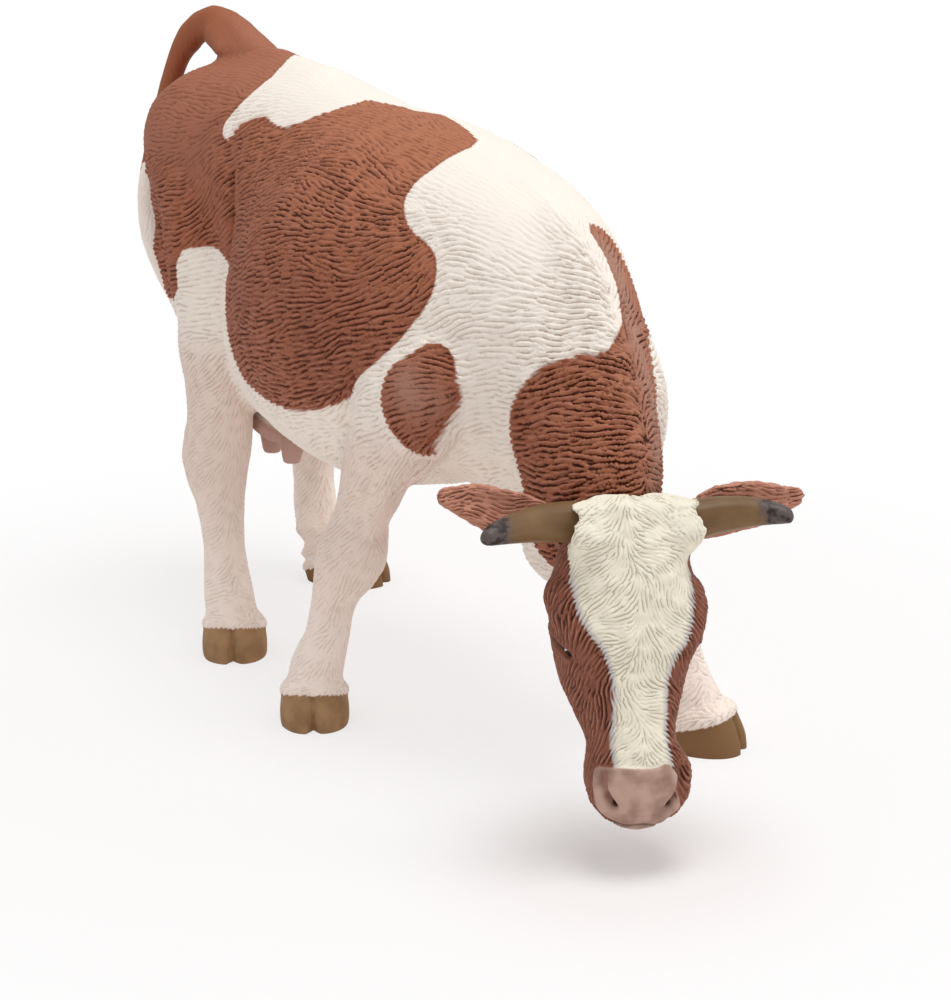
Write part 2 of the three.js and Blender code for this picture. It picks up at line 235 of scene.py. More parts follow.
# The blaze and the nose pad, in the head's own x and z.
BLAZE = [
    (-9.6, 2.5), (-9.4, -6.2), (-7.7, -7.6), (-7.4, -9), (-7.4, -11.6), (-7.2, -13.4), (-6, -15.6),
    (-4.9, -17), (-3.9, -19.8), (-3.6, -23), (-4.2, -30), (-3, -32), (3, -32), (2.6, -29.5),
    (2.5, -26.5), (2.5, -22), (3.2, -18.8), (5.1, -16.4), (6.1, -13.2), (6.1, -11), (6.2, -8.4),
    (7.4, -7), (9.4, -6), (9.6, 2.5),
]
PAD = [
    (-5.5, -30.1), (-4.1, -30.2), (-1.4, -30.4), (0.6, -30.5), (2, -29.9), (2.8, -31), (3.5, -32.4),
    (3.8, -33.9), (3.4, -35.3), (1.9, -36.9), (-0.8, -37.9), (-2.8, -37.8), (-4.8, -36.6),
    (-5.4, -35), (-5.7, -32.3),
]

# Carved forms as lines with a width and a height. Those of the face are in the head's own directions
# and are repeated on the other side of its middle.
FACE_MIDDLE = -0.85
EYE_GLINT = (-8.2, 3.9, -17.0)
EYE = [(-8.7, 7.6, -16.0), (-8.75, 5.6, -16.3), (-8.5, 4.4, -16.8), (-8.0, 3.2, -17.5)]
BROW_MOUND = [(-6.6, 2.2, -17.2), (-5.8, 1.4, -20)]
NOSTRIL = [(-5.0, 1.1, -31.2), (-4.9, 1.3, -32.5), (-4.4, 1.4, -33.5), (-3.8, 1.3, -34.3)]
MOUTH = [(-6.6, 10.5, -31.5), (-6.9, 7, -33.8), (-6.3, 4, -36.2), (-4.2, 2.4, -37.8), (-0.6, 1.8, -38.6)]
FACE_FORMS = {
    "brow": ([(-7.9, 3.6, -13.6), (-6.6, 2.0, -16.4), (-5.8, 1.2, -19.2)], 1.5, 0.5),
    "upper lid": ([(-8.8, 7.6, -15.1), (-8.9, 5.5, -15.4), (-8.6, 4.1, -15.9), (-7.9, 2.8, -16.8)], 0.5, 0.2),
    "lower lid": ([(-8.6, 7.4, -16.9), (-8.7, 5.6, -17.2), (-8.4, 4.4, -17.7), (-7.8, 3.0, -18.4)], 0.5, 0.2),
    "eye": (EYE, 0.36, -0.6),
    "tear line": ([(-8.0, 3.2, -17.6), (-7.0, 2.0, -19.2), (-6.2, 1.2, -21.4)], 0.5, -0.3),
    "cheek": ([(-8.4, 8, -20), (-7.6, 6, -25)], 2.2, 0.35),
    "nostril": (NOSTRIL, 0.7, -0.75),
    "nostril hole": (NOSTRIL[2:], 0.45, -0.6),
    "nostril wing": ([(-5.6, 1.6, -30.6), (-5.8, 2, -32.2), (-5.5, 2, -33.8), (-4.9, 1.8, -35)], 0.45, 0.35),
    "nostril lip": ([(-4.2, 0.7, -31.3), (-4, 0.9, -32.5), (-3.5, 0.9, -33.4), (-3, 0.9, -34.2)], 0.45, 0.35),
    "mouth": (MOUTH, 0.35, -0.6),
    "lower lip": ([(-3.0, 3.2, -39.0), (-0.8, 2.8, -39.4)], 1.0, 0.2),
}
# The near temple stands out, and the far one is pinched under the horn.
TEMPLES = {
    "near": ([(-7.8, 5.5, -7.2), (-8.2, 6, -10.5)], 2.4, 1.2),
    "near cheek": ([(-8.0, 6, -22), (-7.0, 5, -26.5)], 2.6, 0.7),
    "far": ([(8.6, 4, -12.5), (8.0, 4, -20)], 3.0, -0.8),
    "far cheek": ([(7.4, 4, -21), (5.6, 3.5, -27)], 2.6, -1.0),
    "far pinch": ([(7.0, 2.6, -8.6)], 1.5, -0.6),
}
# Forms of the body, in the cow's own directions.
BODY_FORMS = {
    "arm crease": (
        [(-19.4, -12.0, 48.3), (-19.4, -10.6, 45.0), (-18.6, -9.3, 41), (-17.8, -6.6, 35.5)], 0.9, -0.6
    ),
    "arm": ([(-19.4, -15.5, 47), (-18.8, -14, 41), (-18.4, -11.5, 36)], 2.4, 0.5),
    "arm front": ([(-15.0, -21.2, 38), (-14.8, -18.6, 34.5), (-14.2, -15.6, 31.5)], 2.3, -1.7),
    "foreleg valley": ([(-18.8, -16.2, 36.6), (-18.3, -13.4, 33), (-18, -10.4, 29.5)], 0.9, -0.5),
    "shoulder valley": (
        [(-10.4, -30.4, 54.7), (-11.1, -30.4, 50.7), (-11.3, -29.3, 45.7), (-11, -27.2, 41)], 1.6, -0.5
    ),
    "spot ridge": ([(-15.8, -22.4, 54), (-17.2, -23.4, 50), (-17.2, -24, 46.6), (-16.4, -24, 43)], 1.1, 0.4),
    "flank hollow": ([(-13.4, 30.5, 68), (-14.2, 28.6, 64.5), (-15, 27, 60), (-15.8, 26.2, 55)], 1.8, -0.7),
    "flank crease": ([(-14, 29.2, 66), (-14.8, 27.4, 61), (-15.8, 26.2, 55), (-16, 26.6, 50)], 0.7, -0.8),
    "left flank hollow": ([(13.4, 33.5, 68), (14.2, 32, 64.5), (15, 31, 60), (15.6, 30.5, 55)], 1.8, -0.8),
    "chest floor": ([(-6, -8.6, 30), (-9.4, -16, 33), (-9.6, -23, 35.8), (-5, -31, 36.5)], 3.4, -1.6),
    "knee": ([(-18.6, -13.2, 26), (-16, -13.4, 25)], 2.2, 0.5),
    "cannon": ([(-17, -9.4, 19.5), (-17.4, -7.2, 15)], 2.4, -0.9),
    "thigh back": ([(-17.9, 46, 56), (-17.8, 43.5, 50), (-17.4, 41.5, 45)], 3.0, -1.3),
    "sacrum": ([(0, 45, 77), (0, 37, 75.8), (0, 29, 74)], 3.5, 0.8),
    "rump edge": ([(-10, 54, 71), (-8, 50, 74)], 3.0, 0.6),
    "tail root side": ([(-3.8, 52.6, 80.2), (-3.7, 50.9, 79.7), (-3.7, 49.3, 78.8)], 1.6, 1.2),
    "tail root top": ([(-1.2, 49.3, 81.8), (-0.6, 44.3, 79.6), (0, 40, 77.5)], 2.2, 0.6),
    "tail crook": ([(-0.6, 53, 79.3), (-3, 57.6, 77.5)], 2.0, 0.6),
}

# Places that are moved: a line, a width and the way.
BODY_MOVES = {
    "tail root": ([(0, 46, 78.5), (-0.6, 50, 80.5)], 3.0, (0, 2.0, -0.3)),
    "arm front": ([(-13.2, -15, 33), (-13.7, -13, 30.1), (-14, -11.6, 28)], 2.6, (-1.0, 0.6, 0)),
    "left heel": ([(9.6, 49, 1), (9.6, 49.4, 3.2)], 2.0, (-2.4, 1.5, 0)),
    "left fetlock hair": ([(8.6, 49.6, 11), (8.8, 49.8, 7.8)], 1.8, (-2.0, 1.3, 0)),
    "thigh back": (
        [(-16.4, 44.5, 52), (-16.4, 46, 56.5), (-12.5, 52.5, 56.5), (-12.5, 51, 51)], 3.4, (0.8, -0.5, 0)
    ),
    "dewlap": ([(-7.2, -33.8, 30.2), (-7.8, -38, 30.2), (-9, -41.5, 32)], 4.0, (-1.1, 0.7, -0.2)),
}
BELLY_LIFT = 1.8

# The udder: how far it is moved, how far its bag hangs and swells above the teats, and their taper.
UDDER_SHIFT = np.array([-2.1, -1.6, 0.6])
UDDER_DROP = 2.2
UDDER_SWELL = 0.45
TEAT_LEVELS = (25.2, 28.4)
TEAT_TAPER = 0.2
TEAT_LENGTH = 4.5

# Hooves are higher at the toe, which points outward, and cleft in front.
HOOF_HEIGHT = 3.6
HOOF_RISE = 0.3
HOOF_SWELL = 0.2
TOE_OUT = 0.64
CLEFT_WIDTH = 0.4
CLEFT_DEPTH = 0.5
CLEFT_AHEAD = (0.5, 2)
SOLE_DROP = 0.8
SOLE_LEVELS = (1.8, 0.6)
# Where below the hair they begin to be, and are wholly, smooth, swollen and bare.
HOOF_SMOOTH = (-0.3, 0.3)
HOOF_RIM = (-0.1, 0.2)
HOOF_BARE = (-0.2, 0.2)
# Hair hangs over each.
FRINGE_ABOVE = 0.7
FRINGE_WIDTH = 1.1
FRINGE_FLARE = 0.5

# The nose pad's step, and where the face is bare of hair: the pad, the eyes and the brows.
PAD_STEP = 0.35
PAD_EDGE = (-0.15, 0.3)
PAD_BARE = (-0.6, 0.2)
EYE_BARE = (1.6, 0.6)
BROW_BARE = (2.4, 1.0)
BROW_BARENESS = 0.4
BLAZE_EDGE = (-0.5, 0.5)
# The pad and the blaze end where the face turns back.
FACE_BACK = (3, 5)
# Hair parts along the middle of the face, spreads to the sides, more on the blaze, and runs back beside it.
PARTING = 1.2
HAIR_SPREAD = (0.3, 0.9)
HAIR_BACK = 0.4
# How dark the paint in the grooves of the ears is (wash and painted shade), next to that of the face.
EAR_GROOVE = 0.6

# The hair between the horns: how far it stands out to each side and forward, and from where.
POLL_BLOCK = np.array([1.9, -1.4, 0.0])
POLL_ASIDE = (2.5, 5.5)
POLL_UP = (-8.5, -4)
POLL_AHEAD = (4.5, 1.5)
# Its straight sides: their distance from the middle, what of the hair isn't stretched, and from where.
POLL_HALF = 7.9
POLL_CORE = 3.5
POLL_LEAST = 6.3
POLL_FRONT = 0.6
POLL_LEVELS = np.arange(-8, 0.6, 0.5)
POLL_BAND = 0.4
SIDE_UP = (-6.5, -4)
SIDE_AHEAD = (4, 2)
# How far its top is lowered.
POLL_DROP = 0.75
POLL_TOP = (-3, 0.5)

# How far the tips of the ears are moved, and how much the lower edge of the near one is folded up.
EAR_TIP = np.array([-1.0, 0, 0.8])
EAR_END = (-12, -19)
FAR_EAR_TIP = np.array([0, 0, -0.9])
FAR_EAR_END = (10, 20)
EAR_FOLD = 0.36
FOLD_EDGE = (0, -1)
FOLD_START = (5, 8)
FOLD_END = (17, 12)

# Horns start at the sides of that hair, stand back there, lean to the right at the tip, and sink at both.
HORN_ROOT = 5.5
HORN_END = 17
HORN_LEAN = -0.5
HORN_BACK = 0.8
HORN_SINK = {"horn_right": (0.5, 1.1), "horn_left": (1.0, 0.3)}

# Where the hair lies at another slant than on the barrel: (y, degrees, reach, fall toward the tail).
HAIR_SLANTS = [
    (-17, 52, 6.5, 0.95), (23, 36, 7, 0.75), (2, 28, 8, -0.05), (-28, 80, 6, 0.0),
    (-44, 40, 8, 0.5), (34, 70, 7, 1.4), (-14, 110, 6, 0.8),
]
BARREL_FALL = 0.26
LIMB_FALL = 0.8
TAIL_FLOW = (0, 0.2, -1)

# Photograph's camera: where it stands, what it looks at, and its lens.
CAMERA_AZIMUTH = math.radians(-32.5)
CAMERA_RISE = math.radians(17)
CAMERA_DISTANCE = 320
CAMERA_TARGET = np.array([-11.1, -26.6, 35.3])
LENS = 97.8
SENSOR = 36
CLIP_START = 0.01

# Paints by their sRGB codes.
PAINTS = {
    "white": "faf0e5",
    "limb white": "f0ddd1",
    # Painted light: the shins are painted whiter than the rest of the white, for the light the floor throws
    # up.
    "shin white": "fff0e5",
    # Grooves painted darker and ridges lighter: wash and dry-brushing, with painted shade and painted
    # highlight.
    "white groove": "d6c3b5",
    "brown": "a36043",
    "brown cloud": "97583f",
    # Painted top light: a lighter brown near the spine.
    "painted_top_light brown": "b37050",
    # Painted sheen: a paler, greyer brown on the crest, the shoulder patch and the rump.
    "painted_sheen brown": "b08370",
    "tail brown": "9f5a39",
    # Brown ridges and grooves: dry-brushing and wash, with painted highlight and painted shade.
    "brown ridge": "ab705a",
    "brown groove": "572511",
    "brown edge": "9e5638",
    "udder": "c29d90",
    "hoof": "ab855e",
    "hoof cloud": "94714d",
    # Painted shade: the far, left hooves are painted darker, for the shade they stand in.
    "left hoof": "84613c",
    "face": "864f3a",
    # Painted light: the ears are painted lighter than the face, for the light that falls on them.
    "ear": "c98d76",
    # Face ridges and grooves, and the cream's grooves below: dry-brushing and wash, with painted highlight
    # and shade.
    "face ridge": "a5705b",
    "face groove": "4c2214",
    "cream": "f5eeda",
    "cream groove": "d3ccb7",
    # The blaze's grey edge: airbrushing, deepened with painted shade.
    "cream edge": "c4bebc",
    "pad": "c2a191",
    "pad cloud": "957465",
    # Painted shade: the nostrils in pink-brown, their holes and the mouth line dark.
    "nostril": "aa8072",
    "pit": "43291f",
    "eye": "1c1412",
    "glint": "f4f0ee",
    "horn": "826440",
    "horn cloud": "745636",
    "horn tip": "5d5250",
    "horn tip cloud": "2e2624",
    "floor": "f6f1f0",
}
SPECULAR = 0.35
COAT_ROUGHNESS = 0.62
FACE_ROUGHNESS = (0.55, 0.55, 0.55, 1)
EYE_ROUGHNESS = (0.15, 0.15, 0.15, 1)
HORN_ROUGHNESS = 0.45

# Where a paint begins and is full, by the mask that it follows.
FADES = {
    "white groove": (0.0, 1.0),
    "brown": (-0.16, 0.16),
    "brown ridge": (-0.05, -0.4),
    "brown groove": (0.0, 0.8),
    "brown edge": (0.5, 0.0),
    "udder": (0.3, 0.7),
    "hoof": (-0.1, 0.1),
    "face ridge": (-0.05, -0.4),
    "face groove": (0.0, 0.8),
    "cream": (-0.15, 0.15),
    "cream groove": (0.0, 0.8),
    "cream edge": (0.9, 0.0),
    "pad": (-0.12, 0.12),
    "nostril": (0.6, 0.1),
    "pit": (0.55, 0.2),
    "eye": (0.32, 0.2),
    "glint": (0.34, 0.24),
    "horn tip": (13.4, 15.0),
}
# Clouds of a paint's darker tone: their scale, and where in the noise they begin and are whole.
CLOUDS = {
    "brown": (60, 0.4, 0.7),
    "hoof": (400, 0.35, 0.7),
    "pad": (320, 0.35, 0.7),
    "horn": (250, 0.35, 0.7),
    "horn tip": (900, 0.45, 0.6),
}
CLOUD_DETAIL = 3.0

# Studio, in metres: the floor's size, how much it glows to the camera by the cow, and where that grows.
FLOOR_HALF = 3
FLOOR_GLOW = 0.68
FLOOR_SPAN = (0.06, 0.13)
# The floor under the muzzle, whose place is in millimetres, glows least: a painted shadow that deepens the
# real one there.
MUZZLE_FLOOR = np.array([-11, -60, 0])
MUZZLE_GLOW = 0.2
MUZZLE_SPAN = (0.006, 0.03)
# The sky, which is as white as that glow.
SKY_STRENGTH = 0.61
PURE_WHITE = (1, 1, 1, 1)
LAMPS = {
    "overhead": {"place": (0.05, -0.1, 0.75), "target": (0, 0, 0.03), "size": 0.4, "watts": 2.3},
    "side": {"place": (0.5, -0.4, 0.45), "target": (0, 0, 0.04), "size": 0.4, "watts": 0.6},
}


def smooth(values, start, end):
    """Shares that change softly from 0 at the start to 1 at the end, which may be the lower of the two."""
    share = np.clip((values - start) / (end - start), 0, 1)
    return share * share * (3 - 2 * share)


def bump(gap, width):
    """Shares that fall off softly from 1 at no gap."""
    return np.exp(-((gap / width) ** 2))


def between(first, second, share):
    return first + (second - first) * share


def unit(vectors):
    return vectors / np.maximum(np.linalg.norm(vectors, axis=1, keepdims=True), TINY)


def to_head(points):
    return (points - POLL) @ HEAD_AXES


def from_head(points):
    return points @ HEAD_AXES.T + POLL


def to_coat(points):
    """Flat coat coordinates: along the body, and around its middle line."""
    along = points[:, 1]
    across = np.interp(along, LINE_Y, LINE_X) - points[:, 0]
    rise = points[:, 2] - np.interp(along, LINE_Y, LINE_Z)
    return np.stack([along, np.degrees(np.arctan2(across, rise)) * MM_PER_DEGREE], axis=1)


def rounded(outline):
    """The closed outline with its corners cut."""
    points = np.array(outline, float)
    ahead = np.roll(points, -1, axis=0)
    cuts = [between(points, ahead, CORNER_CUT), between(ahead, points, CORNER_CUT)]
    return np.stack(cuts, axis=1).reshape(-1, 2)


def depth_inside(places, outline):
    """How far each flat place is inside a closed outline; negative outside, and FAR_OUT if well outside."""
    starts = rounded(outline)
    ends = np.roll(starts, -1, axis=0)
    close = ((places > starts.min(axis=0) + FAR_OUT) & (places < starts.max(axis=0) - FAR_OUT)).all(axis=1)
    points = places[close]
    nearest = np.full(len(points), np.inf)
    inside = np.zeros(len(points), bool)
    for start, end in zip(starts, ends):
        along = end - start
        share = np.clip((points - start) @ along / (along @ along), 0, 1)
        gap = points - start - share[:, None] * along
        nearest = np.minimum(nearest, np.hypot(gap[:, 0], gap[:, 1]))
        crosses = (start[1] > points[:, 1]) != (end[1] > points[:, 1])
        rise = along[1] if along[1] else TINY
        inside ^= crosses & (points[:, 0] < start[0] + (points[:, 1] - start[1]) * along[0] / rise)
    depth = np.full(len(places), FAR_OUT)
    depth[close] = np.where(inside, nearest, -nearest)
    return depth


def coat_depth(coat, patch):
    """How far inside a patch each place of the coat is."""
    return depth_inside(coat, np.array(patch) * (1, MM_PER_DEGREE))


def gap_to(points, line):
    """How far each point is from a line of straight stretches, or from a single place."""
    line = np.array(line, float)
    nearest = np.linalg.norm(points - line[0], axis=1)
    for start, end in zip(line, line[1:]):
        along = end - start
        share = np.clip((points - start) @ along / (along @ along), 0, 1)
        nearest = np.minimum(nearest, np.linalg.norm(points - start - share[:, None] * along, axis=1))
    return nearest


def laid_on(places, line):
    """The line with its corners moved to the nearest of the places."""
    return [places[np.linalg.norm(places - corner, axis=1).argmin()] for corner in np.array(line, float)]


def other_side(line):
    """The line repeated on the other side of the face."""
    return [(2 * FACE_MIDDLE - x, y, z) for x, y, z in line]


def random_at(cells, seed):
    """A random value of 0 to 1 for each cell of a lattice; large numbers scramble its place."""
    spot = cells * (73856093, 19349663, 83492791)
    mixed = spot[:, 0] ^ spot[:, 1] ^ spot[:, 2] ^ (seed * 2654435761)
    mixed = (mixed ^ (mixed >> 13)) * 1274126177
    mixed = (mixed ^ (mixed >> 16)) * 668265263
    return ((mixed >> 8) & 0xFFFF) / 65535


def noise(points, size, seed):
    """Random values of about -1 to 1 that change smoothly over this size."""
    places = points / size
    cells = np.floor(places).astype(np.int64)
    parts = places - cells
    fade = parts * parts * (3 - 2 * parts)
    total = np.zeros(len(points))
    for corner in np.ndindex(2, 2, 2):
        weight = np.prod(np.where(corner, fade, 1 - fade), axis=1)
        total += weight * (2 * random_at(cells + corner, seed) - 1)
    return total


def lumps(points, layers):
    """Random heights, from layers of (height, size, seed)."""
    return sum(height * noise(points, size, seed) for height, size, seed in layers)


def stroke_phase(points, across, period, reach, seed):
    """Even strokes square to the across direction, from short waves at random places.

    Returns the phase across the strokes, from -0.5 to 0.5 turns, and how strong they are; the mean is 1.
    """
    cells = np.floor(points / reach).astype(np.int64)
    even = np.zeros(len(points))
    odd = np.zeros(len(points))
    for corner in np.ndindex(3, 3, 3):
        cell = cells + corner - 1
        jitter = np.stack([random_at(cell, seed + k) for k in range(3)], axis=1)
        gap = points / reach - cell - jitter
        aside = (gap * across).sum(axis=1)
        near = np.clip(1 - (gap * gap).sum(axis=1) - (STROKE_SLIM**2 - 1) * aside**2, 0, None) ** 2
        angle = 2 * math.pi * (aside * reach / period + random_at(cell, seed + 3))
        even += near * np.cos(angle)
        odd += near * np.sin(angle)
    strength = np.hypot(even, odd)
    return np.arctan2(odd, even) / (2 * math.pi), strength / strength.mean()


def quad_sides(quads):
    return np.concatenate([quads[:, [k, (k + 1) % 4]] for k in range(4)])


def side_codes(sides, count):
    """A number for each side that is the same whichever way it runs."""
    return sides.min(axis=1) * count + sides.max(axis=1)


class Skin:
    """A closed mesh of quads held as arrays."""

    def __init__(self, points, quads):
        self.points = points
        self.quads = quads
        codes = np.unique(side_codes(quad_sides(quads), len(points)))
        low, high = np.divmod(codes, len(points))
        self.tails = np.concatenate([low, high])
        self.heads = np.concatenate([high, low])
        self.degree = np.bincount(self.tails, minlength=len(points))

    def finer(self):
        """Cuts each quad in four, and returns how values at the old points spread to the new ones."""
        quads = self.quads
        count = len(self.points)
        ahead = np.roll(quads, -1, axis=1)
        sides = np.minimum(quads, ahead) * count + np.maximum(quads, ahead)
        codes, index = np.unique(sides, return_inverse=True)
        index = index.reshape(quads.shape) + count
        ends = np.stack(np.divmod(codes, count), axis=1)
        middles = count + len(codes) + np.arange(len(quads))

        def spread(values):
            return np.concatenate([values, values[ends].mean(axis=1), values[quads].mean(axis=1)])

        cut = [np.stack([quads[:, k], index[:, k], middles, index[:, k - 1]], axis=1) for k in range(4)]
        self.__init__(spread(self.points), np.concatenate(cut))
        return spread

    def around(self, values):
        """The mean of each point's neighbours."""
        columns = values.reshape(len(values), -1).T
        sums = [np.bincount(self.tails, column[self.heads], len(values)) for column in columns]
        return (np.array(sums) / self.degree).T.reshape(values.shape)

    def blur(self, values, rounds):
        for _ in range(rounds):
            values = between(values, self.around(values), SOFTNESS)
        return values

    def relax(self, rounds, weight=1.0):
        for _ in range(rounds):
            step = self.around(self.points) - self.points
            self.points = self.points + SOFTNESS * np.reshape(weight, (-1, 1)) * step

    def normals(self):
        corners = self.points[self.quads]
        faces = np.cross(corners[:, 2] - corners[:, 0], corners[:, 3] - corners[:, 1])
        ends = self.quads.ravel()
        sums = [np.bincount(ends, np.repeat(faces[:, k], 4), len(self.points)) for k in range(3)]
        return unit(np.array(sums).T)

    def push(self, height):
        self.points = self.points + self.normals() * np.reshape(height, (-1, 1))

    def shape(self, places, line, width, height):
        """Raises or sinks a soft line; places are the points in the line's own directions."""
        self.push(height * bump(gap_to(places, laid_on(places, line)), width))


def outer_shell(points, quads):
    """The largest connected shell."""
    owner = np.arange(len(points))
    while True:
        lowest = owner[quads].min(axis=1)
        better = owner.copy()
        for k in range(4):
            np.minimum.at(better, quads[:, k], lowest)
        better = better[better]
        if (better == owner).all():
            break
        owner = better
    main = np.bincount(owner).argmax()
    keep = owner == main
    index = np.cumsum(keep) - 1
    return points[keep], index[quads[keep[quads[:, 0]]]]


def vertex_places(mesh):
    places = np.zeros(3 * len(mesh.vertices))
    mesh.vertices.foreach_get("co", places)
    return places.reshape(-1, 3)


def add(name, data):
    """A new object in the scene."""
    thing = bpy.data.objects.new(name, data)
    bpy.context.scene.collection.objects.link(thing)
    return thing


def aim(thing, way):
    thing.rotation_mode = "QUATERNION"
    thing.rotation_quaternion = way.to_track_quat("-Z", "Y")


def fused(names, cell):
    """One closed skin around these CAD nodes, swollen to close the glue gaps."""
    joined = bmesh.new()
    for name in names:
        joined.from_mesh(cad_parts[name].data)
    bmesh.ops.remove_doubles(joined, verts=joined.verts, dist=WELD * MM)
    joined.normal_update()
    for vertex in joined.verts:
        vertex.co = vertex.co / MM - Vector(SHIFT) + SWELL * vertex.normal
    mesh = bpy.data.meshes.new("fused")
    joined.to_mesh(mesh)
    joined.free()
    block = add("fused", mesh)
    remesh = block.modifiers.new("fuse", "REMESH")
    remesh.mode = "VOXEL"
    remesh.voxel_size = cell
    shell = block.evaluated_get(bpy.context.evaluated_depsgraph_get()).to_mesh()
    quads = np.zeros(len(shell.loops), int)
    shell.loops.foreach_get("vertex_index", quads)
    skin = Skin(*outer_shell(vertex_places(shell), quads.reshape(-1, 4)))
    bpy.data.objects.remove(block)
    bpy.data.meshes.remove(mesh)
    return skin


def nearest_node(points, names):
    """Which of the CAD nodes each point lies on, as a place in the list."""
    corners = []
    faces = []
    owner = []
    for index, name in enumerate(names):
        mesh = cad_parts[name].data
        first = len(corners)
        corners += (vertex_places(mesh) / MM - SHIFT).tolist()
        faces += [[first + k for k in polygon.vertices] for polygon in mesh.polygons]
        owner += [index] * len(mesh.polygons)
    tree = BVHTree.FromPolygons(corners, faces)
    return np.array([owner[tree.find_nearest(point)[2]] for point in points.tolist()])


def carve(skin, flow, wave, period, reach, depth, seed):
    """Carves hair strokes along the flow and returns them, and how deep in a groove each point is."""
    normals = skin.normals()
    flow = unit(flow - normals * (flow * normals).sum(axis=1, keepdims=True))
    turn = np.reshape(wave * noise(skin.points, WAVE_SIZE, seed + 9), (-1, 1))
    across = np.cos(turn) * np.cross(normals, flow) - np.sin(turn) * flow
    phase, strength = stroke_phase(skin.points, across, period, reach, seed)
    below = -phase * np.sign(across[:, 2])
    profile = np.where(below < 0, smooth(below, -STEEP_SHARE, 0), smooth(-below, -GENTLE_SHARE, 0))
    kept = np.clip(DASH_SHARE + DASH_SWING * noise(skin.points, DASH_SIZE, seed + 7), 0, 1)
    groove = np.clip(profile + kept * smooth(strength, 0, FAINT) - 1, 0, 1)
    strokes = -np.cos(2 * math.pi * phase) * np.minimum(strength, 1)
    skin.push(depth * (RIDGE_SHARE * strokes - GROOVE_SHARE * groove))
    return strokes, groove


def groove_paint(strokes, groove):
    """How dark the grooves are painted (wash and painted shade); negative on the ridges (dry-brush, painted
    highlight).
    """
    return groove - RIDGE_LIGHT * np.maximum(strokes, 0)


# The body's skin.
body = fused(BODY_NODES, BODY_CELL)
body_node = nearest_node(body.points, BODY_NODES)
is_torso, is_tail, is_udder = [body_node == BODY_NODES.index(name) for name in ("torso", "tail", "udder")]
is_leg = ~(is_torso | is_tail | is_udder)
is_hind = np.isin(body_node, [BODY_NODES.index(name) for name in HIND_LEG_NODES])
limb = body.blur(is_leg * smooth(body.points[:, 2], *LIMB_LEVELS), BLUR["limb"])
thin = body.blur((is_tail | is_udder).astype(float), BLUR["thin"])
body.relax(RELAX["body"])
body.relax(RELAX["tail"], is_tail * 1.0)
body.relax(RELAX["barrel"], np.clip(1 - limb - thin, 0, 1))
body.push(-SWELL)
body.points[:, 2] = np.maximum(body.points[:, 2], 0)

# Its forms.
for line, width, height in BODY_FORMS.values():
    body.shape(body.points, line, width, height)
for line, width, way in BODY_MOVES.values():
    share = bump(gap_to(body.points, line), width)
    body.points += share[:, None] * np.array(way)
coat = to_coat(body.points)
belly = smooth(np.abs(coat[:, 1]) / MM_PER_DEGREE, *BELLY_AROUND)
belly *= smooth(coat[:, 0], *BELLY_FRONT) * smooth(coat[:, 0], *BELLY_REAR)
body.points[:, 2] += BELLY_LIFT * belly * body.blur(is_torso.astype(float), BLUR["belly"])
udder_share = body.blur(is_udder.astype(float), BLUR["udder"])
tail_share = body.blur(is_tail * smooth(body.points[:, 1], *TAIL_ALONG), BLUR["tail"])
body.points += udder_share[:, None] * UDDER_SHIFT
above_teats = udder_share * smooth(body.points[:, 2], *TEAT_LEVELS)
body.points[:, 2] -= UDDER_DROP * above_teats
body.push(UDDER_SWELL * above_teats)
from_tip = body.points[:, 2] - body.points[is_udder, 2].min()
teats = udder_share * smooth(from_tip, TEAT_LENGTH, 0)
body.push(-TEAT_TAPER * teats)
body.relax(RELAX["teats"], teats)

# Its hooves.
hoof = np.full(len(body.points), FAR_OUT)
cleft = np.zeros(len(body.points))
for name in LEG_NODES:
    own = body_node == BODY_NODES.index(name)
    foot = body.points[own & (body.points[:, 2] < HOOF_HEIGHT)].mean(axis=0)
    toe = unit(np.array([[TOE_OUT * np.sign(foot[0]), -1, 0]]))[0]
    from_foot = body.points[own] - foot
    ahead = from_foot @ toe
    aside = from_foot @ np.array([toe[1], -toe[0], 0])
    hoof[own] = HOOF_HEIGHT + HOOF_RISE * ahead - body.points[own, 2]
    cleft[own] = bump(aside, CLEFT_WIDTH) * smooth(ahead, *CLEFT_AHEAD)
body.relax(RELAX["hooves"], smooth(hoof, *HOOF_SMOOTH))
horny = smooth(hoof, *HOOF_RIM)
body.push(horny * (HOOF_SWELL - CLEFT_DEPTH * cleft))
body.points[:, 2] -= SOLE_DROP * horny * smooth(body.points[:, 2], *SOLE_LEVELS)
body.push(FRINGE_FLARE * limb * (1 - horny) * bump(-hoof - FRINGE_ABOVE, FRINGE_WIDTH))
body.points[:, 2] = np.maximum(body.points[:, 2], 0)

# Smaller quads for the hair.
spread = body.finer()
body_node = spread(np.eye(len(BODY_NODES))[body_node]).argmax(axis=1)
is_tail, is_udder, is_leg, is_hind = [
    spread(kind.astype(float)) > 0.5 for kind in (is_tail, is_udder, is_leg, is_hind)
]
limb, udder_share, tail_share, hoof = [spread(values) for values in (limb, udder_share, tail_share, hoof)]

# Its patches.
coat = to_coat(body.points)
along = coat[:, 0]
around = np.abs(coat[:, 1]) / MM_PER_DEGREE
height = body.points[:, 2]
brown = np.max([coat_depth(coat, patch) for patch in BROWN_PATCHES.values()], axis=0)
brown = np.minimum(brown, -coat_depth(coat, LOIN_PATCH))
above_rear = height - REAR_LEVEL - lumps(body.points, REAR_WAVER)
brown = between(brown, above_rear, smooth(along, *REAR_ALONG))
white_level = np.where(is_hind, HIND_WHITE, FRONT_WHITE)
below_thigh = smooth(height, white_level, white_level - WHITE_FADE)
brown = np.where(is_leg | is_udder, brown - OUTSIDE * below_thigh, brown)
brown = np.where(is_tail, height - SWITCH_LEVEL - lumps(body.points, SWITCH_RAGS), brown)
